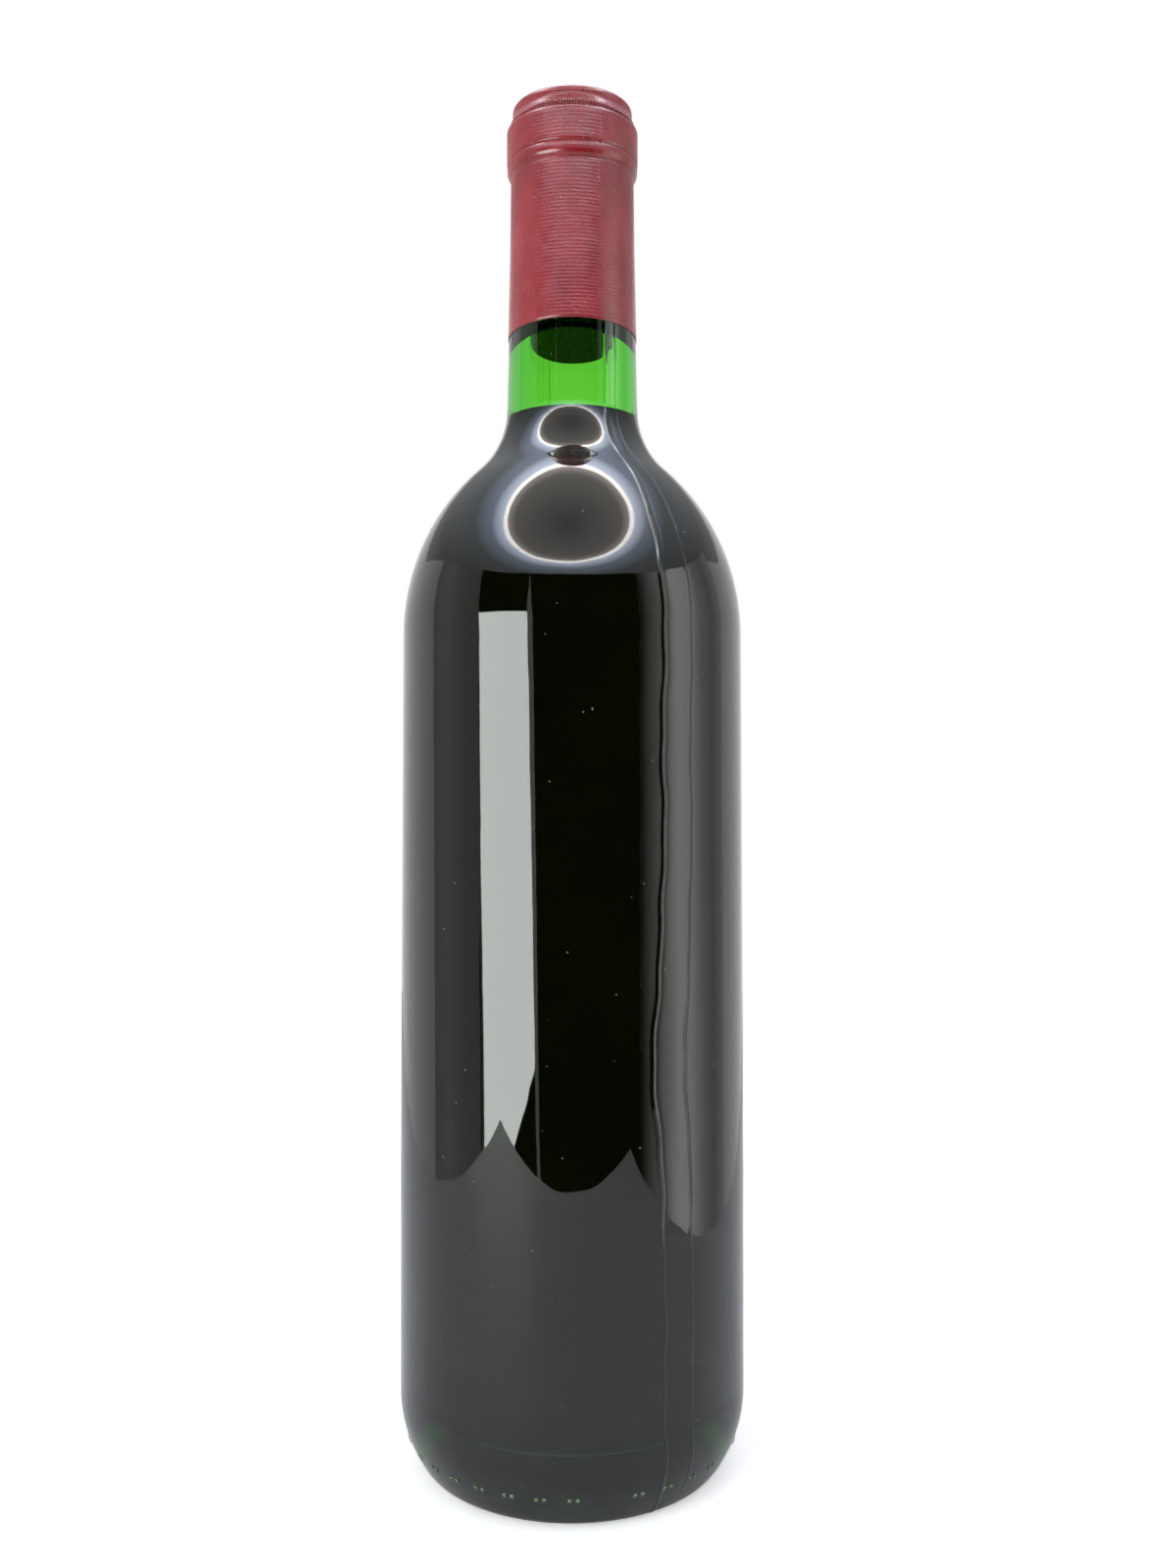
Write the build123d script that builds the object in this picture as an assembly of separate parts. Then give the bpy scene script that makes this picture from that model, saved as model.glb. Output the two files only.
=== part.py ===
from build123d import *
import os
from math import acos, cos, degrees, radians, sin

# A sealed wine bottle of straight-sided shape: the glass, the wine up to its level, and the capsule.
# Millimetres. +Z runs up the bottle's axis, and the origin is the centre of the foot it stands on.

# Glass, outside
body_radius = 38.1            # lower half of the body
body_taper_start = 63.5       # from here up the body narrows a little
shoulder_height = 182.5       # end of the straight body
shoulder_radius = 37.5        # the body's radius there
shoulder_arc = 48.5           # radius of the round shoulder, in profile
neck_arc = 19.2               # radius of the hollow curve from the shoulder into the neck
neck_foot_radius = 14.55
neck_bend_radius = 13.75      # the neck's taper eases at the bend
neck_bend_height = 268.0
neck_top_radius = 13.55
neck_top_height = 284.2
heel_arc = 24.6               # large arc from the body into the heel
foot_arc = 4.5                # small arc from the heel into the foot
heel_turn = 36.5              # degrees that the large heel arc turns through
foot_width = 2.6              # ring that the bottle rests on
foot_edge = 1.4               # rounding on the foot's inner edge
punt_height = 14.0            # rise of the hollow base at the axis

# Glass finish, the rings round the mouth
finish_radius = 14.3
finish_bottom = 286.2
finish_top = 294.2
lip_radius = 12.7
lip_bottom = 296.9
mouth_height = 299.6

# Cavity
body_wall = 2.85
floor_thickness = 4.5         # at the axis, above the punt
floor_edge_height = 4.2       # where the floor would meet the wall if it had no round
floor_round = 11.0
cavity_neck_arc = 24.0
bore_foot_radius = 10.0
bore_radius = 9.5
bore_straight_start = 249.0   # from here up the bore is straight
bore_end = 262.0              # the neck is solid above this, where nothing can be seen
bore_end_round = 7.5
wine_level = 231.8

# Capsule
capsule_bottom = 249.5
capsule_wall = 0.15
overall_height = 300.0
crease_height = 284.3         # where the sleeve tucks in under the bead
bead_radius = 14.5
bead_middle = 286.0
band_radius = 14.6
band_bottom = 287.6
band_top = 294.3
band_round_radius = 14.4      # a point on the round above the band
band_round_height = 295.0
ring_radius = 13.85           # ring above the band
ring_bottom = 295.5
ring_top = 296.7
waist_radius = 13.3           # hollow between the ring and the rim
waist_height = 297.5
rim_radius = 13.3
rim_bottom = 298.2
rim_round = 1.1               # rounding of the top edge


def turned(edges):
    """The solid that a closed chain of (radius, height) edges makes about the Z axis."""
    return revolve(Plane.XZ * make_face(edges), Axis.Z)


def shoulder_edges(body_r, big_arc, hollow_arc, neck_r):
    """Two tangent arcs from the top of the straight body into a neck, and the height of the neck's foot."""
    centre_r = body_r - big_arc
    reach = big_arc + hollow_arc
    turn = acos((neck_r + hollow_arc - centre_r) / reach)
    foot_z = shoulder_height + reach * sin(turn)
    edges = [
        CenterArc((centre_r, shoulder_height), big_arc, 0, degrees(turn)),
        CenterArc((neck_r + hollow_arc, foot_z), hollow_arc, 180, degrees(turn)),
    ]
    return edges, foot_z


def heel_edges():
    """The two arcs from the foot up to the straight body, the foot's outer radius and the heel's top."""
    turn = radians(heel_turn)
    foot_r = body_radius - heel_arc + (heel_arc - foot_arc) * cos(turn)
    heel_z = foot_arc + (heel_arc - foot_arc) * sin(turn)
    edges = [
        CenterArc((foot_r, foot_arc), foot_arc, -90, 90 - heel_turn),
        CenterArc((body_radius - heel_arc, heel_z), heel_arc, -heel_turn, heel_turn),
    ]
    return edges, foot_r, heel_z


def dome_edge(rise, radius, base_z):
    """An arc from the axis, rise above base_z, out to the given radius at base_z."""
    sphere = (rise**2 + radius**2) / (2 * rise)
    half = degrees(acos((sphere - rise) / sphere))
    return CenterArc((0, base_z + rise - sphere), sphere, 90 - half, half)


def rounded(solid, height, radius):
    """The solid with its circular edge nearest to a height rounded off."""
    circles = solid.edges().filter_by(GeomType.CIRCLE)
    return fillet(min(circles, key=lambda edge: abs(edge.center().Z - height)), radius)


def glass_envelope():
    """The bottle as if it had no cavity."""
    heel, foot_r, heel_z = heel_edges()
    shoulder, neck_z = shoulder_edges(shoulder_radius, shoulder_arc, neck_arc, neck_foot_radius)
    foot_inner = foot_r - foot_width
    base = [dome_edge(punt_height, foot_inner, 0), Line((foot_inner, 0), (foot_r, 0)), *heel]
    body = Polyline(
        (body_radius, heel_z), (body_radius, body_taper_start), (shoulder_radius, shoulder_height)
    )
    neck = Polyline(
        (neck_foot_radius, neck_z),
        (neck_bend_radius, neck_bend_height),
        (neck_top_radius, neck_top_height),
        (finish_radius, finish_bottom),
        (finish_radius, finish_top),
        (lip_radius, lip_bottom),
        (lip_radius, mouth_height),
        (0, mouth_height),
        (0, punt_height),
    )
    solid = turned([*base, body, *shoulder, neck])
    foot_circles = solid.edges().filter_by(GeomType.CIRCLE).group_by(Axis.Z)[0]
    return fillet(foot_circles.sort_by(SortBy.RADIUS)[0], foot_edge)


def cavity():
    """The space inside the glass, as far up as the bare neck lets anyone see."""
    wall_r = body_radius - body_wall
    top_r = shoulder_radius - body_wall
    floor_z = punt_height + floor_thickness
    shoulder, neck_z = shoulder_edges(
        top_r, shoulder_arc - body_wall, cavity_neck_arc, bore_foot_radius
    )
    floor = dome_edge(floor_z - floor_edge_height, wall_r, floor_edge_height)
    body = Polyline((wall_r, floor_edge_height), (wall_r, body_taper_start), (top_r, shoulder_height))
    bore = Polyline(
        (bore_foot_radius, neck_z),
        (bore_radius, bore_straight_start),
        (bore_radius, bore_end),
        (0, bore_end),
        (0, floor_z),
    )
    solid = turned([floor, body, *shoulder, bore])
    solid = rounded(solid, floor_edge_height, floor_round)
    return rounded(solid, bore_end, bore_end_round)


def capsule_envelope():
    """The capsule as if it were solid."""
    _, neck_z = shoulder_edges(shoulder_radius, shoulder_arc, neck_arc, neck_foot_radius)
    taper = (neck_foot_radius - neck_bend_radius) / (neck_bend_height - neck_z)
    bend_r = neck_bend_radius + capsule_wall
    bottom_r = bend_r + taper * (neck_bend_height - capsule_bottom)
    crease_r = neck_top_radius + capsule_wall
    rim_centre = (rim_radius - rim_round, overall_height - rim_round)
    sleeve = Polyline(
        (0, overall_height),
        (0, capsule_bottom),
        (bottom_r, capsule_bottom),
        (bend_r, neck_bend_height),
        (crease_r, crease_height),
    )
    bead = ThreePointArc((crease_r, crease_height), (bead_radius, bead_middle), (bead_radius, band_bottom))
    band = Polyline((bead_radius, band_bottom), (band_radius, band_bottom), (band_radius, band_top))
    band_round = ThreePointArc(
        (band_radius, band_top), (band_round_radius, band_round_height), (ring_radius, ring_bottom)
    )
    ring = Line((ring_radius, ring_bottom), (ring_radius, ring_top))
    waist = ThreePointArc((ring_radius, ring_top), (waist_radius, waist_height), (rim_radius, rim_bottom))
    rim = Line((rim_radius, rim_bottom), (rim_radius, rim_centre[1]))
    top = Line((rim_centre[0], overall_height), (0, overall_height))
    return turned(
        [sleeve, bead, band, band_round, ring, waist, rim, CenterArc(rim_centre, rim_round, 0, 90), top]
    )


envelope = glass_envelope()
space = cavity()
pieces = {
    "glass": envelope - space,
    "wine": split(space, Plane.XY.offset(wine_level), keep=Keep.BOTTOM),
    "capsule": capsule_envelope() - envelope,
}

os.makedirs("parts", exist_ok=True)
for name, solid in pieces.items():
    export_step(solid, f"parts/{name}.step")
    print(f"{name}: {solid.volume / 1000:.1f} cm3, {len(solid.solids())} solid, valid {solid.is_valid}")
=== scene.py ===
import math
import random

import bpy
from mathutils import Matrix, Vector, noise


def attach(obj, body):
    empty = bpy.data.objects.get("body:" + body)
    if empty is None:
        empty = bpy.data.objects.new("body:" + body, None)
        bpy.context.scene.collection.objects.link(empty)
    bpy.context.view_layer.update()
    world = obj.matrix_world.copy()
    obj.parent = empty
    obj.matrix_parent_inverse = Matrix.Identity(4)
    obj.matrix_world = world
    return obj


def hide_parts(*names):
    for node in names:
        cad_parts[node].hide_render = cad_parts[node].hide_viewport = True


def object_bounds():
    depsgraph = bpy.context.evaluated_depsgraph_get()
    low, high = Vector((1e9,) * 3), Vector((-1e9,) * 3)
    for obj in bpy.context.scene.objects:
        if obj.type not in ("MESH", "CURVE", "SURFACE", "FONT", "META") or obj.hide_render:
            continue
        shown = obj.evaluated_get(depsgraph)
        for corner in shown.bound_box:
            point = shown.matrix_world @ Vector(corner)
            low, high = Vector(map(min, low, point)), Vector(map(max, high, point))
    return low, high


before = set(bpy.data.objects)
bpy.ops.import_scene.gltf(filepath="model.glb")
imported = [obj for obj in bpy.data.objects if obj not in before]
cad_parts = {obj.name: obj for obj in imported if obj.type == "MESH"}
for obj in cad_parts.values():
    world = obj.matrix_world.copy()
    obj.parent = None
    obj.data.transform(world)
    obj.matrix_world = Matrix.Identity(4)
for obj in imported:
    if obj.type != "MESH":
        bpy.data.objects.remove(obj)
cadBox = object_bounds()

mm = 0.001
scene = bpy.context.scene
overallHeight = (cadBox[1][2] - cadBox[0][2]) / mm
print("frame loaded, height in mm:", round(overallHeight, 2))


# Profiles are lists of (radius, height) in millimetres, from the axis at the bottom to the axis at the top.

def arc(centreR, centreZ, radius, startDeg, endDeg, count):
    run = []
    for i in range(count + 1):
        a = math.radians(startDeg + (endDeg - startDeg) * i / count)
        run.append((centreR + radius * math.cos(a), centreZ + radius * math.sin(a)))
    return run


def line(a, b, step):
    count = max(1, round(math.dist(a, b) / step))
    return [(a[0] + (b[0] - a[0]) * i / count, a[1] + (b[1] - a[1]) * i / count) for i in range(count + 1)]


def curveThrough(a, b, c, count):
    # a short curve that starts at a, is pulled towards b and ends at c
    run = []
    for i in range(count + 1):
        t = i / count
        run.append(tuple((1 - t) ** 2 * a[k] + 2 * t * (1 - t) * b[k] + t * t * c[k] for k in (0, 1)))
    return run


def joined(*runs):
    out = []
    for run in runs:
        for p in run:
            if not out or math.dist(out[-1], p) > 1e-4:
                out.append(p)
    return out


def shoulderRuns(bodyR, shoulderZ, bigArc, hollowArc, neckR, step):
    centreR = bodyR - bigArc
    turn = math.acos((neckR + hollowArc - centreR) / (bigArc + hollowArc))
    footZ = shoulderZ + (bigArc + hollowArc) * math.sin(turn)
    deg = math.degrees(turn)
    up = arc(centreR, shoulderZ, bigArc, 0, deg, round(bigArc * turn / step))
    hollow = arc(neckR + hollowArc, footZ, hollowArc, 180 + deg, 180, round(hollowArc * turn / step))
    return up, hollow, footZ


def aroundPoint(r, z, deg):
    # azimuth 0 is the front, towards -Y, and grows towards +X
    a = math.radians(deg)
    return Vector((r * math.sin(a), -r * math.cos(a), z))


def lathe(profile, azimuths, shape=None, inward=False, first=0):
    """Vertices and faces"""
    rows, cols = len(profile), len(azimuths)
    verts, faces = [Vector((0, 0, profile[0][1]))], []
    for r, z in profile[1:-1]:
        for deg in azimuths:
            verts.append(shape(r, z, deg) if shape else aroundPoint(r, z, deg))
    verts.append(Vector((0, 0, profile[-1][1])))
    last = len(verts) - 1

    def at(i, j):
        return 1 + (i - 1) * cols + j % cols

    for j in range(cols):
        faces.append((0, at(1, j + 1), at(1, j)))
        faces.append((last, at(rows - 2, j), at(rows - 2, j + 1)))
        for i in range(1, rows - 2):
            faces.append((at(i, j), at(i, j + 1), at(i + 1, j + 1), at(i + 1, j)))
    if inward:
        faces = [tuple(reversed(f)) for f in faces]
    return verts, [tuple(k + first for k in f) for f in faces]


def makeObject(name, verts, faces, material):
    mesh = bpy.data.meshes.new(name)
    mesh.from_pydata([tuple(v * mm) for v in verts], [], faces)
    mesh.materials.append(material)
    mesh.shade_smooth()
    mesh.update()
    obj = bpy.data.objects.new(name, mesh)
    scene.collection.objects.link(obj)
    return obj


def evenAzimuths(count):
    return [360 * i / count for i in range(count)]


# Materials: small helpers, then one function for each finish.

class Nodes:
    def __init__(self, name):
        self.material = bpy.data.materials.new(name)
        self.material.use_nodes = True
        self.tree = self.material.node_tree
        self.shader = self.tree.nodes["Principled BSDF"]
        self.output = self.tree.nodes["Material Output"]
        self.coords = self.add("ShaderNodeTexCoord").outputs["Object"]

    def add(self, kind, **settings):
        node = self.tree.nodes.new(kind)
        for key, value in settings.items():
            setattr(node, key, value)
        return node

    def link(self, source, target):
        self.tree.links.new(source, target)

    def scaled(self, size):
        mapping = self.add("ShaderNodeMapping")
        mapping.inputs["Scale"].default_value = size
        self.link(self.coords, mapping.inputs["Vector"])
        return mapping.outputs["Vector"]

    def noise(self, scale, detail=3, size=(1, 1, 1)):
        node = self.add("ShaderNodeTexNoise")
        node.inputs["Scale"].default_value = scale
        node.inputs["Detail"].default_value = detail
        self.link(self.scaled(size), node.inputs["Vector"])
        return node.outputs["Fac"]

    def ramp(self, source, stops):
        node = self.add("ShaderNodeValToRGB")
        elements = node.color_ramp.elements
        for i, (place, colour) in enumerate(stops):
            element = elements[i] if i < 2 else elements.new(place)
            element.position = place
            element.color = (*colour, 1) if len(colour) == 3 else colour
        self.link(source, node.inputs["Fac"])
        return node.outputs["Color"]

    def between(self, source, low, high, outLow, outHigh):
        node = self.add("ShaderNodeMapRange")
        for socket, value in zip(("From Min", "From Max", "To Min", "To Max"), (low, high, outLow, outHigh)):
            node.inputs[socket].default_value = value
        self.link(source, node.inputs["Value"])
        return node.outputs["Result"]

    def math(self, operation, a, b):
        node = self.add("ShaderNodeMath", operation=operation)
        for socket, value in zip(node.inputs, (a, b)):
            if isinstance(value, (int, float)):
                socket.default_value = value
            else:
                self.link(value, socket)
        return node.outputs["Value"]

    def bump(self, height, strength, distance):
        node = self.add("ShaderNodeBump")
        node.inputs["Strength"].default_value = strength
        node.inputs["Distance"].default_value = distance
        self.link(height, node.inputs["Height"])
        self.link(node.outputs["Normal"], self.shader.inputs["Normal"])

    def set(self, **values):
        for key, value in values.items():
            self.shader.inputs[key.replace("_", " ")].default_value = value


glassFinish = {
    "ior": 1.52,
    "absorbColour": (0.36, 0.845, 0.02, 1),
    "absorbDensity": 360.0,
    "rippleScale": 60.0,
    "rippleDepth": 0.00002,
    "smudgeScale": 45.0,
}


def makeGlass(name):
    n = Nodes(name)
    n.set(Base_Color=(1, 1, 1, 1), IOR=glassFinish["ior"], Transmission_Weight=1.0)
    smudge = n.noise(glassFinish["smudgeScale"], 6, (1, 1, 0.6))
    n.link(n.between(smudge, 0.58, 0.75, 0.0, 0.12), n.shader.inputs["Roughness"])
    n.bump(n.noise(glassFinish["rippleScale"], 2), 1.0, glassFinish["rippleDepth"])
    absorb = n.add("ShaderNodeVolumeAbsorption")
    absorb.inputs["Color"].default_value = glassFinish["absorbColour"]
    absorb.inputs["Density"].default_value = glassFinish["absorbDensity"]
    n.link(absorb.outputs["Volume"], n.output.inputs["Volume"])
    return n.material


def makeWine():
    n = Nodes("redWine")
    colour = n.ramp(n.noise(30, 4), [(0.3, (0.006, 0.002, 0.003)), (0.75, (0.02, 0.006, 0.006))])
    n.link(colour, n.shader.inputs["Base Color"])
    n.set(Specular_IOR_Level=0.02)
    n.link(n.between(n.noise(80, 2), 0.3, 0.7, 0.05, 0.12), n.shader.inputs["Roughness"])
    return n.material


capsuleFinish = {
    "deep": (0.15, 0.008, 0.012),
    "plain": (0.21, 0.013, 0.018),
    "worn": (0.28, 0.03, 0.033),
    "lineScale": 2600.0,
    "lineDepth": 0.00002,
}


def makeCapsuleFilm():
    n = Nodes("capsuleFilm")
    tone = n.ramp(n.noise(160, 5, (1, 1, 0.5)), [
        (0.25, capsuleFinish["deep"]), (0.5, capsuleFinish["plain"]), (0.8, capsuleFinish["worn"])])
    n.link(tone, n.shader.inputs["Base Color"])
    n.link(n.between(n.noise(400, 3), 0.3, 0.7, 0.20, 0.32), n.shader.inputs["Roughness"])
    n.set(Specular_IOR_Level=0.6)
    lines = n.add("ShaderNodeTexWave", wave_type="BANDS", bands_direction="Z")
    lines.inputs["Scale"].default_value = capsuleFinish["lineScale"] / 20
    lines.inputs["Distortion"].default_value = 1.5
    lines.inputs["Detail"].default_value = 2
    n.link(n.scaled((1, 1, 3)), lines.inputs["Vector"])
    height = n.math("ADD", n.math("MULTIPLY", lines.outputs["Fac"], 0.5), n.noise(1500, 4, (1, 1, 2)))
    n.bump(height, 1.0, capsuleFinish["lineDepth"])
    return n.material


def makeDust():
    n = Nodes("paleDust")
    colour = n.ramp(n.noise(900, 2), [(0.3, (0.45, 0.43, 0.40)), (0.7, (0.75, 0.74, 0.72))])
    n.link(colour, n.shader.inputs["Base Color"])
    n.link(n.between(n.noise(500, 2), 0.3, 0.7, 0.6, 0.9), n.shader.inputs["Roughness"])
    return n.material


# Glass

bottle = {
    "bodyRadius": 38.1, "bodyTaperStart": 63.5, "shoulderZ": 182.5, "shoulderRadius": 37.5,
    "shoulderArc": 48.5, "neckArc": 19.2, "neckFootRadius": 14.55,
    "neckBend": (13.75, 268.0), "neckTop": (13.55, 284.2),
    "heelArc": 24.6, "footArc": 4.5, "heelTurn": 36.5, "footWidth": 2.6, "puntHeight": 14.0,
    "finishRadius": 14.3, "finishBottom": 286.2, "finishTop": 294.2,
    "lipRadius": 12.7, "lipBottom": 296.9, "mouthZ": 299.6,
}
hollow = {
    "wall": 2.85, "floorZ": 18.5, "floorEdgeZ": 4.2, "floorRound": 11.0, "neckArc": 24.0,
    "boreFootRadius": 10.0, "boreRadius": 9.5, "boreStraightZ": 249.0, "boreEnd": 262.0, "boreRound": 7.5,
}
wineLevel = 230.8            # middle of the surface; its edge is a little higher


def outsideProfile():
    b = bottle
    turn = math.radians(b["heelTurn"])
    footR = b["bodyRadius"] - b["heelArc"] + (b["heelArc"] - b["footArc"]) * math.cos(turn)
    heelZ = b["footArc"] + (b["heelArc"] - b["footArc"]) * math.sin(turn)
    footInner = footR - b["footWidth"]
    sphere = (b["puntHeight"] ** 2 + footInner ** 2) / (2 * b["puntHeight"])
    half = math.degrees(math.asin(footInner / sphere))
    dome = arc(0, b["puntHeight"] - sphere, sphere, 90, 90 - half + 3, 22)
    footCurve = curveThrough(dome[-1], (footInner, 0), (footInner + 1.0, 0), 5)
    up, inward, neckZ = shoulderRuns(
        b["shoulderRadius"], b["shoulderZ"], b["shoulderArc"], b["neckArc"], b["neckFootRadius"], 1.6)
    return joined(
        dome, footCurve, line(footCurve[-1], (footR, 0), 0.8),
        arc(footR, b["footArc"], b["footArc"], -90, -b["heelTurn"], 14),
        arc(b["bodyRadius"] - b["heelArc"], heelZ, b["heelArc"], -b["heelTurn"], 0, 12),
        line((b["bodyRadius"], heelZ), (b["bodyRadius"], b["bodyTaperStart"]), 2.0),
        line((b["bodyRadius"], b["bodyTaperStart"]), (b["shoulderRadius"], b["shoulderZ"]), 2.0),
        up, inward,
        line((b["neckFootRadius"], neckZ), b["neckBend"], 1.8),
        line(b["neckBend"], b["neckTop"], 4.0),
        [(b["finishRadius"], b["finishBottom"]), (b["finishRadius"], b["finishTop"]),
         (b["lipRadius"], b["lipBottom"]), (b["lipRadius"], b["mouthZ"]), (0, b["mouthZ"])],
    )


def insideProfile(grow=0.0, step=2.2):
    # grow moves the surface outwards into the glass
    b, h = bottle, hollow
    wallR = b["bodyRadius"] - h["wall"]
    topR = b["shoulderRadius"] - h["wall"]
    rise = h["floorZ"] - h["floorEdgeZ"]
    sphere = (rise ** 2 + wallR ** 2) / (2 * rise)
    sphereZ = h["floorZ"] - sphere
    roundR = wallR - h["floorRound"]
    roundZ = sphereZ + math.sqrt((sphere + h["floorRound"]) ** 2 - roundR ** 2)
    lean = math.degrees(math.atan2(roundZ - sphereZ, roundR))
    up, inward, neckZ = shoulderRuns(
        topR + grow, b["shoulderZ"], b["shoulderArc"] - h["wall"] + grow, h["neckArc"] - grow,
        h["boreFootRadius"] + grow, step)
    run = joined(
        arc(0, sphereZ, sphere - grow, 90, lean, 12),
        arc(roundR, roundZ, h["floorRound"] + grow, lean - 180, 0, 12),
        line((wallR + grow, roundZ), (wallR + grow, b["bodyTaperStart"]), step * 2),
        line((wallR + grow, b["bodyTaperStart"]), (topR + grow, b["shoulderZ"]), step * 2),
        up, inward)
    return run, neckZ


moulding = {
    "seams": [(30.0, 0.17, 0.32, 1.0), (40.5, 0.09, 0.22, 0.12), (210.0, 0.17, 0.32, -1.0), (220.5, 0.09, 0.22, -0.12)],
    "columns": 208,
    "seamOffsets": (0.2, 0.45, 0.75, 1.1, 1.7, 2.6),
    "dipZ": 95.0, "dipWidth": 24.0, "dip": -2.7,
    "rippleHeight": 0.022, "rippleSize": 15.0,
    "baseRingZ": 3.1, "baseRingHeight": 0.09,
}


def seamWander(z):
    m = moulding
    dip = m["dip"] * math.exp(-((z - m["dipZ"]) / m["dipWidth"]) ** 2)
    small = 0.22 * math.sin(z / 5.3) + 0.15 * math.sin(z / 2.1 + 1.0) + 0.25 * math.sin(z / 17.0 + 2.0)
    return dip + small


def mouldedAzimuths():
    m = moulding
    reach = m["seamOffsets"][-1] / bottle["bodyRadius"]
    near = []
    for deg, *_ in m["seams"]:
        near.append(deg)
        for off in m["seamOffsets"]:
            step = math.degrees(off / bottle["bodyRadius"])
            near += [deg - step, deg + step]
    even = [a for a in evenAzimuths(m["columns"])
            if all(abs(a - deg) > math.degrees(reach) * 1.2 for deg, *_ in m["seams"])]
    return sorted(near + even)


def mouldedPoint(r, z, deg):
    m = moulding
    if r < 24 and z < 20 or z > 250:
        return aroundPoint(r, z, deg)
    lift, turn = 0.0, 0.0
    for seamDeg, height, width, sway in m["seams"]:
        away = (deg - seamDeg + 180) % 360 - 180
        if abs(away) < 24:
            fade = math.cos(math.radians(away * 90 / 24)) ** 2
            turn += math.degrees(seamWander(z) / bottle["bodyRadius"]) * sway * fade
        dist = math.radians(away) * max(r, 12)
        if abs(dist) < 4 * width:
            thick = 1 + 0.5 * noise.noise(Vector((seamDeg, z / 6.0, 0)))
            lift += height * thick * math.exp(-(dist / width) ** 2)
            lift -= 0.4 * height * math.exp(-((dist - 1.6 * width) / width) ** 2)
    if z < 8 and r > 26:
        wave = m["baseRingZ"] + 0.25 * math.sin(math.radians(deg) * 5) + 0.12 * math.sin(math.radians(deg) * 13)
        lift += m["baseRingHeight"] * math.exp(-((z - wave) / 0.28) ** 2)
    p = aroundPoint(r, z, deg + turn)
    if z > 10:
        lift += m["rippleHeight"] * noise.noise(p / m["rippleSize"])
        lift += 0.35 * m["rippleHeight"] * noise.noise(p / (m["rippleSize"] * 0.3))
    return p + Vector((p.x, p.y, 0)).normalized() * lift


glassMaterial = makeGlass("bottleGreenGlass")
outVerts, outFaces = lathe(outsideProfile(), mouldedAzimuths(), mouldedPoint)
run, boreFootZ = insideProfile()
h = hollow
innerRun = joined(
    run, line((h["boreFootRadius"], boreFootZ), (h["boreRadius"], h["boreStraightZ"]), 2.5),
    line((h["boreRadius"], h["boreStraightZ"]), (h["boreRadius"], h["boreEnd"] - h["boreRound"]), 2.5),
    arc(h["boreRadius"] - h["boreRound"], h["boreEnd"] - h["boreRound"], h["boreRound"], 0, 90, 8),
    [(0, h["boreEnd"])])
inVerts, inFaces = lathe(innerRun, evenAzimuths(128), None, True, len(outVerts))
glass = makeObject("glass_bottle", outVerts + inVerts, outFaces + inFaces, glassMaterial)
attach(glass, "root")
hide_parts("glass")
print("glass made, faces:", len(glass.data.polygons))


# Wine

wineSize = {"overlap": 0.15, "meniscusRise": 0.4, "meniscusReach": 2.0}
run, boreFootZ = insideProfile(wineSize["overlap"])
side = [p for p in run if p[1] < wineLevel + wineSize["meniscusRise"]]
edgeR = side[-1][0] + (side[-2][0] - side[-1][0]) * 0.0
for a, b in zip(run, run[1:]):
    if a[1] <= wineLevel + wineSize["meniscusRise"] < b[1]:
        t = (wineLevel + wineSize["meniscusRise"] - a[1]) / (b[1] - a[1])
        edgeR = a[0] + (b[0] - a[0]) * t
top = []
for i in range(1, 15):
    dist = 6.0 * (i / 14) ** 2
    top.append((edgeR - dist, wineLevel + wineSize["meniscusRise"] * math.exp(-dist / wineSize["meniscusReach"] * 2.2)))
wineProfile = joined(side, [(edgeR, wineLevel + wineSize["meniscusRise"])], top, [(0, wineLevel)])
wineVerts, wineFaces = lathe(wineProfile, evenAzimuths(128))
wine = makeObject("wine_fill", wineVerts, wineFaces, makeWine())
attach(wine, "root")
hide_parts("wine")
print("wine made")


# Capsule

capsule = {
    "bottom": 249.5, "wall": 0.15, "gap": 0.03, "top": 300.0,
    "creaseZ": 284.3, "creaseDepth": 0.12, "creaseWidth": 0.35,
    "beadRadius": 14.5, "beadZ": 286.0,
    "bandRadius": 14.6, "bandBottom": 287.6, "bandTop": 294.3, "grooveDepth": 0.22,
    "ringRadius": 13.85, "ringBottom": 295.5, "ringTop": 296.7,
    "waistRadius": 13.3, "waistZ": 297.5, "rimRadius": 13.3, "rimBottom": 298.2, "rimRound": 1.1,
    "seamDeg": 25.5, "seamHeight": 0.05, "ridgeHeight": 0.014, "backDrop": 2.4,
}


def neckRadius(z):
    b = bottle
    _, _, footZ = shoulderRuns(b["shoulderRadius"], b["shoulderZ"], b["shoulderArc"], b["neckArc"],
                               b["neckFootRadius"], 10)
    stops = [(footZ, b["neckFootRadius"]), (b["neckBend"][1], b["neckBend"][0]), (b["neckTop"][1], b["neckTop"][0])]
    for (z0, r0), (z1, r1) in zip(stops, stops[1:]):
        if z <= z1:
            return r0 + (r1 - r0) * (z - z0) / (z1 - z0)
    return b["neckTop"][0]


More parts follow.
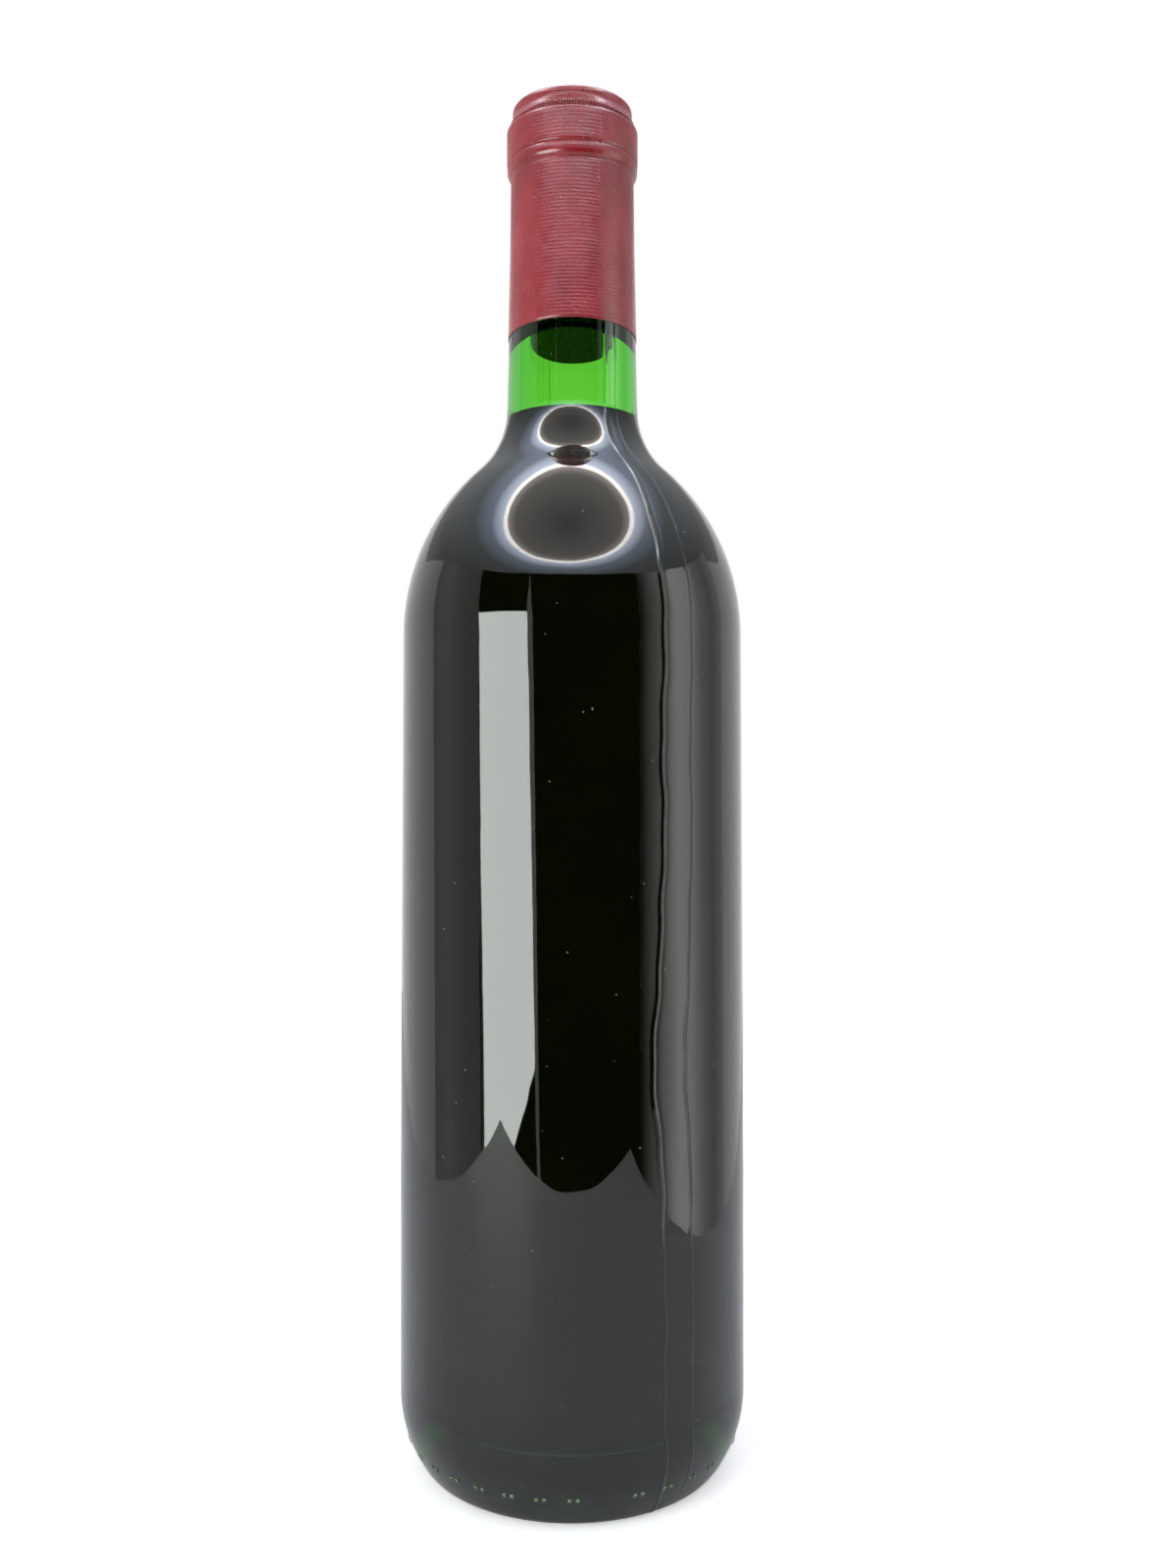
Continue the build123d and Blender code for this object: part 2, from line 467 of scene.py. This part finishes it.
def capsuleProfile():
    c = capsule
    inner = [(0, bottle["mouthZ"] + c["gap"]), (bottle["lipRadius"] + c["gap"], bottle["mouthZ"] + c["gap"]),
             (bottle["lipRadius"] + c["gap"], bottle["lipBottom"]),
             (bottle["finishRadius"] + c["gap"], bottle["finishTop"] + c["gap"]),
             (bottle["finishRadius"] + c["gap"], bottle["finishBottom"] - c["gap"]),
             (bottle["neckTop"][0] + c["gap"], bottle["neckTop"][1] - c["gap"]),
             (bottle["neckBend"][0] + c["gap"], bottle["neckBend"][1]),
             (neckRadius(c["bottom"]) + c["gap"], c["bottom"])]
    sleeve = [(neckRadius(z) + c["wall"], z)
              for z in [c["bottom"] + 0.0] + [c["bottom"] + 0.6 * i for i in range(1, 58)] if z < c["creaseZ"] - 0.5]
    creaseR = neckRadius(c["creaseZ"]) + c["wall"]
    crease = [(creaseR, c["creaseZ"] - 0.3), (creaseR - c["creaseDepth"], c["creaseZ"]), (creaseR + 0.1, c["creaseZ"] + 0.2)]
    bead = curveThrough(crease[-1], (c["beadRadius"] + 0.02, c["creaseZ"] + 0.7), (c["beadRadius"], c["beadZ"]), 5)
    groove = [(c["beadRadius"], 286.8), (c["beadRadius"] - 0.03, 287.2), (c["beadRadius"] - c["grooveDepth"], 287.45),
              (c["beadRadius"] - c["grooveDepth"], 287.6), (c["bandRadius"] - 0.06, 287.66), (c["bandRadius"], 287.8)]
    band = line((c["bandRadius"], 287.8), (c["bandRadius"], c["bandTop"]), 0.5)
    over = arc(c["ringRadius"] + 0.0, c["bandTop"], c["bandRadius"] - c["ringRadius"], 0, 80, 5)
    ring = [(c["ringRadius"] - 0.25, c["ringBottom"] - 0.2), (c["ringRadius"] - 0.28, c["ringTop"])]
    waist = curveThrough((c["ringRadius"] - 0.28, c["ringTop"]), (c["waistRadius"] - 0.15, c["waistZ"]),
                         (c["rimRadius"], c["rimBottom"]), 5)
    rimTop = arc(c["rimRadius"] - c["rimRound"], c["top"] - c["rimRound"], c["rimRound"], 0, 90, 7)
    line1 = [(c["rimRadius"] - 0.05, c["rimBottom"] + 0.25), (c["rimRadius"], c["rimBottom"] + 0.4)]
    disc = [(c["rimRadius"] - c["rimRound"] - 0.8, c["top"]), (6.0, c["top"] - 0.02), (0, c["top"] - 0.02)]
    return inner + joined(sleeve, crease, bead, groove, band, over, ring, waist, line1, rimTop, disc)


def capsulePoint(r, z, deg):
    c = capsule
    lift = 0.0
    if r > neckRadius(min(z, 284.0)) + c["wall"] * 0.6:
        away = math.radians((deg - c["seamDeg"] + 180) % 360 - 180) * r
        lift += c["seamHeight"] * (math.tanh(away / 0.12) - math.tanh(away / 1.6)) * 0.5
        lift += c["ridgeHeight"] * noise.noise(Vector((deg / 25.0, 3.0, z * 1.1)))
    low = max(0.0, 1 - (z - c["bottom"]) / 6.0)
    p = aroundPoint(r, z - low * c["backDrop"] * (1 - math.cos(math.radians(deg))) / 2, deg)
    return p + Vector((p.x, p.y, 0)).normalized() * lift if r > 1 else p


film = makeCapsuleFilm()
capAzimuths = sorted(evenAzimuths(160) + [capsule["seamDeg"] + d for d in (-1.2, -0.6, -0.3, 0.3, 0.6, 1.3, 1.9)])
capVerts, capFaces = lathe(capsuleProfile(), capAzimuths, capsulePoint)
skin = makeObject("capsule_skin", capVerts, capFaces, film)
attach(skin, "root")
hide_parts("capsule")
print("capsule made, faces:", len(skin.data.polygons))


# Geometry Nodes: copies of one small shape on the points of a base mesh, turned to face outwards

def scatterTree(name, buildShape):
    tree = bpy.data.node_groups.new(name, "GeometryNodeTree")
    face = tree.interface
    face.new_socket("Geometry", in_out="INPUT", socket_type="NodeSocketGeometry")
    face.new_socket("Size", in_out="INPUT", socket_type="NodeSocketFloat")
    face.new_socket("Spread", in_out="INPUT", socket_type="NodeSocketFloat")
    face.new_socket("Seed", in_out="INPUT", socket_type="NodeSocketInt")
    face.new_socket("Material", in_out="INPUT", socket_type="NodeSocketMaterial")
    face.new_socket("Geometry", in_out="OUTPUT", socket_type="NodeSocketGeometry")
    nodes, links = tree.nodes, tree.links
    given, result = nodes.new("NodeGroupInput"), nodes.new("NodeGroupOutput")
    shape = buildShape(tree, given)
    onPoints = nodes.new("GeometryNodeInstanceOnPoints")
    turn = nodes.new("FunctionNodeAlignRotationToVector")
    turn.axis = "Z"
    outward = nodes.new("GeometryNodeInputNamedAttribute")
    outward.data_type = "FLOAT_VECTOR"
    outward.inputs["Name"].default_value = "outward"
    spin = nodes.new("FunctionNodeRotateRotation")
    spin.rotation_space = "LOCAL"
    turnBy = nodes.new("GeometryNodeInputNamedAttribute")
    turnBy.data_type = "FLOAT"
    turnBy.inputs["Name"].default_value = "spin"
    angle = nodes.new("ShaderNodeCombineXYZ")
    toRotation = nodes.new("FunctionNodeEulerToRotation")
    vary = nodes.new("FunctionNodeRandomValue")
    vary.data_type = "FLOAT"
    low = nodes.new("ShaderNodeMath")
    low.operation = "SUBTRACT"
    low.inputs[0].default_value = 1.0
    high = nodes.new("ShaderNodeMath")
    high.operation = "ADD"
    high.inputs[0].default_value = 1.0
    size = nodes.new("ShaderNodeMath")
    size.operation = "MULTIPLY"
    realize, paint = nodes.new("GeometryNodeRealizeInstances"), nodes.new("GeometryNodeSetMaterial")
    links.new(given.outputs["Geometry"], onPoints.inputs["Points"])
    links.new(shape, onPoints.inputs["Instance"])
    links.new(outward.outputs["Attribute"], turn.inputs["Vector"])
    links.new(turn.outputs["Rotation"], spin.inputs["Rotation"])
    links.new(turnBy.outputs["Attribute"], angle.inputs["Z"])
    links.new(angle.outputs["Vector"], toRotation.inputs["Euler"])
    links.new(toRotation.outputs["Rotation"], spin.inputs["Rotate By"])
    links.new(spin.outputs["Rotation"], onPoints.inputs["Rotation"])
    links.new(given.outputs["Spread"], low.inputs[1])
    links.new(given.outputs["Spread"], high.inputs[1])
    links.new(low.outputs["Value"], vary.inputs[2])
    links.new(high.outputs["Value"], vary.inputs[3])
    links.new(given.outputs["Seed"], vary.inputs["Seed"])
    links.new(vary.outputs[1], size.inputs[0])
    links.new(given.outputs["Size"], size.inputs[1])
    links.new(size.outputs["Value"], onPoints.inputs["Scale"])
    links.new(onPoints.outputs["Instances"], realize.inputs["Geometry"])
    links.new(realize.outputs["Geometry"], paint.inputs["Geometry"])
    links.new(given.outputs["Material"], paint.inputs["Material"])
    links.new(paint.outputs["Geometry"], result.inputs["Geometry"])
    return tree


def ballShape(sizes, subdivisions=1):
    # a small ball squashed to the given sizes, for a copy of size 1
    def build(tree, given):
        ball = tree.nodes.new("GeometryNodeMeshIcoSphere")
        ball.inputs["Radius"].default_value = 1.0
        ball.inputs["Subdivisions"].default_value = subdivisions
        squash = tree.nodes.new("GeometryNodeTransform")
        squash.inputs["Scale"].default_value = sizes
        smooth = tree.nodes.new("GeometryNodeSetShadeSmooth")
        tree.links.new(ball.outputs["Mesh"], squash.inputs["Geometry"])
        tree.links.new(squash.outputs["Geometry"], smooth.inputs["Geometry"])
        return smooth.outputs["Geometry"]
    return build


def scatter(name, points, buildShape, size, spread, seed, material):
    # points: (place in mm, outward direction, spin in radians)
    mesh = bpy.data.meshes.new(name)
    mesh.from_pydata([tuple(p * mm) for p, _, _ in points], [], [])
    mesh.attributes.new("outward", "FLOAT_VECTOR", "POINT")
    mesh.attributes.new("spin", "FLOAT", "POINT")
    for i, (_, direction, turn) in enumerate(points):
        mesh.attributes["outward"].data[i].vector = direction
        mesh.attributes["spin"].data[i].value = turn
    holder = bpy.data.objects.new(name + "_points", mesh)
    scene.collection.objects.link(holder)
    modifier = holder.modifiers.new("copies", "NODES")
    tree = scatterTree(name + "Tree", buildShape)
    sockets = {s.name: s.identifier for s in tree.interface.items_tree if s.in_out == "INPUT"}
    modifier.node_group = tree
    modifier[sockets["Size"]] = size * mm
    modifier[sockets["Spread"]] = spread
    modifier[sockets["Seed"]] = seed
    modifier[sockets["Material"]] = material
    graph = bpy.context.evaluated_depsgraph_get()
    made = bpy.data.meshes.new_from_object(holder.evaluated_get(graph))
    holder.modifiers.remove(modifier)
    bpy.data.objects.remove(holder)
    made.name = name
    if not made.materials:
        made.materials.append(material)
    obj = bpy.data.objects.new(name, made)
    scene.collection.objects.link(obj)
    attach(obj, "root")
    return obj


# Knurled ring of the capsule

knurl = {"count": 150, "length": 0.72, "width": 0.27, "depth": 0.30, "lean": 0.32}
points = []
for i in range(knurl["count"]):
    deg = 360 * i / knurl["count"]
    place = aroundPoint(capsule["ringRadius"] - 0.27, (capsule["ringBottom"] + capsule["ringTop"]) / 2 - 0.1, deg)
    points.append((place, Vector((place.x, place.y, 0)).normalized(), 0.0))
teeth = scatter("capsule_knurl", points, ballShape((knurl["width"], knurl["length"], knurl["depth"]), 2), 1.0, 0.06, 3, film)
print("knurl made")


# Raised dots at the heel

heelDots = {"start": -62.0, "step": 10.5, "pairs": 34, "pairGap": 2.6, "z": 7.3, "skip": (7, 12, 19, 26)}


def outsideAt(z):
    # radius and outward direction of the outside at a height on the heel or body
    rows = [p for p in outsideProfile() if p[0] > 29.0 and p[1] < 230]
    for a, b in zip(rows, rows[1:]):
        if a[1] <= z <= b[1] and b[1] > a[1]:
            t = (z - a[1]) / (b[1] - a[1])
            slope = Vector((b[1] - a[1], a[0] - b[0])).normalized()
            return a[0] + (b[0] - a[0]) * t, slope
    return bottle["bodyRadius"], Vector((1, 0))


dotR, dotSlope = outsideAt(heelDots["z"])
points = []
for i in range(heelDots["pairs"]):
    if i in heelDots["skip"]:
        continue
    for side in (-0.5, 0.5):
        deg = heelDots["start"] + heelDots["step"] * i + heelDots["pairGap"] * side
        out = aroundPoint(dotSlope.x, dotSlope.y, deg)
        points.append((aroundPoint(dotR, heelDots["z"], deg), out, 0.0))
dots = scatter("heel_dots", points, ballShape((1.0, 1.0, 0.55), 3), 0.55, 0.05, 5, glassMaterial)
print("heel dots made")


# Dust: specks on the glass and on the capsule

dustSize = {"specks": 420, "size": 0.10, "spread": 0.6, "seed": 11}


def surfaceSpot(z):
    rows = [p for p in outsideProfile() if p[0] > 13.0 and p[1] > 5]
    for a, b in zip(rows, rows[1:]):
        if a[1] <= z <= b[1] and b[1] > a[1]:
            t = (z - a[1]) / (b[1] - a[1])
            return a[0] + (b[0] - a[0]) * t, Vector((b[1] - a[1], a[0] - b[0])).normalized()
    return None


random.seed(dustSize["seed"])
points = []
while len(points) < dustSize["specks"]:
    z = random.uniform(8, 245)
    spot = surfaceSpot(z)
    if spot is None or random.random() > spot[0] / 38:
        continue
    deg = random.uniform(0, 360)
    direction = aroundPoint(spot[1].x, spot[1].y, deg)
    points.append((aroundPoint(spot[0] + 0.03, z, deg), direction, random.uniform(0, 6.28)))
dustMaterial = makeDust()
dust = scatter("dust_specks", points, ballShape((1.0, 0.6, 0.35), 1), dustSize["size"], dustSize["spread"], 2, dustMaterial)

points = []
for i in range(150):
    onStep = i < 60
    z = random.uniform(287.5, 287.8) if onStep else random.uniform(252, 294)
    r = capsule["bandRadius"] if z > 287.4 else neckRadius(min(z, 284.0)) + capsule["wall"]
    if 284.2 < z < 287.4:
        continue
    deg = random.uniform(0, 360)
    place = aroundPoint(r + 0.02, z, deg)
    points.append((place, Vector((place.x, place.y, 0)).normalized(), random.uniform(0, 6.28)))
capDust = scatter("dust_capsule", points, ballShape((1.0, 0.6, 0.35), 1), 0.09, 0.6, 4, dustMaterial)
print("dust made")


# Stage: table, reflection cards, camera

stageSize = {
    "tableFront": -290.0, "tableLeft": -280.0, "tableRight": 208.0, "tableBack": 700.0,
    "cardRadius": 600.0, "cardLow": -500.0, "cardTop": 500.0, "softboxTop": 285.0, "lean": 0.02, "mattShare": 0.55,
    "ceilingZ": 650.0, "ringCentreX": -22.0, "ringCentreY": -320.0, "ringRadius": 360.0, "ceilingFront": -890.0,
}


def glowMaterial(name, colour, strength):
    n = Nodes(name)
    n.tree.nodes.remove(n.shader)
    glow = n.add("ShaderNodeEmission")
    glow.inputs["Color"].default_value = (*colour, 1)
    glow.inputs["Strength"].default_value = strength
    n.link(glow.outputs["Emission"], n.output.inputs["Surface"])
    n.glow = glow
    return n


def addStage(name, verts, faces, material, **seen):
    obj = makeObject(name, [Vector(v) for v in verts], faces, material)
    for key, value in seen.items():
        setattr(obj, "visible_" + key, value)
    return obj


hiddenFromView = {"camera": False, "transmission": False, "shadow": False}


def card(name, edges, colour):
    # edges: (azimuth, bottom, top, strength) along the strip, with a lean towards the front lower down
    radius, verts, faces, levels = stageSize["cardRadius"], [], [], []
    for (deg0, low0, top0, level0), (deg1, low1, top1, level1) in zip(edges, edges[1:]):
        count = max(1, round(abs(deg1 - deg0) / 3))
        for i in range(count + (1 if deg1 == edges[-1][0] else 0)):
            t = i / count
            deg, low, top = deg0 + (deg1 - deg0) * t, low0 + (low1 - low0) * t, top0 + (top1 - top0) * t
            for z in (low, top):
                lean = stageSize["lean"] * (stageSize["softboxTop"] - z) if deg < 0 else 0.0
                verts.append(aroundPoint(radius, z, deg + max(0.0, lean)))
                levels.append(level0 + (level1 - level0) * t)
    for i in range(len(verts) // 2 - 1):
        faces.append((2 * i, 2 * i + 1, 2 * i + 3, 2 * i + 2))
    glow = glowMaterial(name + "Glow", colour, 1.0)
    level = glow.add("ShaderNodeAttribute", attribute_name="level")
    dimmed(glow, level.outputs["Fac"])
    obj = addStage(name, verts, faces, glow.material, **hiddenFromView)
    obj.data.attributes.new("level", "FLOAT", "POINT")
    for i, value in enumerate(levels):
        obj.data.attributes["level"].data[i].value = value


def dimmed(glow, strength):
    # full strength where it is mirrored, and a plain level of light on what is matt
    path = glow.add("ShaderNodeLightPath")
    share = glow.math("SUBTRACT", 1.0, glow.math("MULTIPLY", path.outputs["Is Diffuse Ray"], 1 - stageSize["mattShare"]))
    glow.link(glow.math("MULTIPLY", strength, share), glow.glow.inputs["Strength"])


s = stageSize
low, top, box = s["cardLow"], s["cardTop"], s["softboxTop"]
card("card_softbox", [(-62.6, -122, box, 11.0), (-28.4, -15, box, 11.0)], (0.95, 1.0, 0.95))
card("card_under_softbox", [(-62.6, low, -124, 0.0), (-28.4, low, -17, 0.0)], (0, 0, 0))
card("card_above_softbox", [(-64.5, box + 1, top, 0.0), (-28.4, box + 1, top, 0.0)], (0, 0, 0))
card("card_gap", [(-65.0, low, box, 0.0), (-62.7, low, box, 0.0)], (0, 0, 0))
card("card_left_wall", [(-106, low, top, 0.5), (-92, low, top, 0.75), (-80, low, top, 0.6), (-65.1, low, top, 0.55)],
     (0.95, 1.0, 1.0))
card("card_front", [(-28.3, low, top, 0.0), (44, low, top, 0.0)], (0, 0, 0))
card("card_right_wall", [(44.1, low, top, 0.0), (52, low, top, 0.7), (62, low, top, 1.6), (72, low, top, 3.0),
                         (82, low, top, 2.4), (94, low, top, 1.0), (104, low, top, 0.6), (116, low, top, 0.8)],
     (0.95, 1.0, 0.98))

ceiling = glowMaterial("ceilingGlow", (1, 1, 1), 1.0)
away = ceiling.add("ShaderNodeVectorMath", operation="DISTANCE")
away.inputs[1].default_value = (s["ringCentreX"] * mm, s["ringCentreY"] * mm, s["ceilingZ"] * mm)
ceiling.link(ceiling.coords, away.inputs[0])
reach = ceiling.between(away.outputs["Value"], 0, 1.0, 0, 1)
levels = ceiling.ramp(reach, [
    (0.0, (0.045, 0.045, 0.045)), (1.0, (0.03, 0.03, 0.03)), (0.30, (0.10, 0.095, 0.09)), (0.345, (0.25, 0.23, 0.22)),
    (0.352, (1.0, 0.93, 0.9)), (0.372, (1.0, 0.95, 0.95)), (0.38, (0.45, 0.5, 0.6)), (0.46, (0.12, 0.14, 0.18)),
    (0.60, (0.05, 0.055, 0.06))])
ceiling.link(levels, ceiling.glow.inputs["Color"])
dimmed(ceiling, 16.0)
z = s["ceilingZ"]
addStage("card_ceiling", [(-900, s["ceilingFront"], z), (900, s["ceilingFront"], z), (900, 900, z), (-900, 900, z)],
         [(0, 3, 2, 1)], ceiling.material, **hiddenFromView)

floor = Nodes("paleTable")
tint = floor.ramp(floor.noise(8, 3), [(0.3, (0.80, 0.80, 0.80)), (0.7, (0.83, 0.83, 0.83))])
floor.link(tint, floor.shader.inputs["Base Color"])
floor.set(Roughness=0.6, Specular_IOR_Level=0.2)
path = floor.add("ShaderNodeLightPath")
seen = floor.math("MAXIMUM", path.outputs["Is Camera Ray"], path.outputs["Is Transmission Ray"])
floor.link(floor.math("MULTIPLY", seen, 0.45), floor.shader.inputs["Emission Strength"])
floor.set(Emission_Color=(1, 1, 1, 1))
addStage("table_top", [(s["tableLeft"], s["tableFront"], 0), (s["tableRight"], s["tableFront"], 0),
                       (s["tableRight"], s["tableBack"], 0), (s["tableLeft"], s["tableBack"], 0)],
         [(0, 1, 2, 3)], floor.material)
far = 9000
addStage("room_floor", [(-far, -far, -0.5), (far, -far, -0.5), (far, far, -0.5), (-far, far, -0.5)],
         [(0, 1, 2, 3)], glowMaterial("roomFloorGlow", (1, 1, 1), 1.0).material,
         glossy=False, diffuse=False, shadow=False)

world = bpy.data.worlds.new("whiteRoom")
scene.world = world
world.use_nodes = True
world.node_tree.nodes["Background"].inputs["Color"].default_value = (1, 1, 1, 1)
tree = world.node_tree
path, dim = tree.nodes.new("ShaderNodeLightPath"), tree.nodes.new("ShaderNodeMapRange")
dim.inputs["To Min"].default_value = 1.0
dim.inputs["To Max"].default_value = stageSize["mattShare"]
tree.links.new(path.outputs["Is Diffuse Ray"], dim.inputs["Value"])
tree.links.new(dim.outputs["Result"], tree.nodes["Background"].inputs["Strength"])

cameraSize = {"place": (0.0035, -0.3197, 0.1496), "lens": 32.8}
cameraData = bpy.data.cameras.new("camera")
cameraData.lens = cameraSize["lens"]
cameraData.sensor_width = 36.0
cameraData.clip_start = 0.01
camera = bpy.data.objects.new("camera", cameraData)
camera.location = cameraSize["place"]
camera.rotation_euler = (math.radians(90), 0, 0)
scene.collection.objects.link(camera)
scene.camera = camera
scene.view_settings.view_transform = "Standard"
print("stage made")
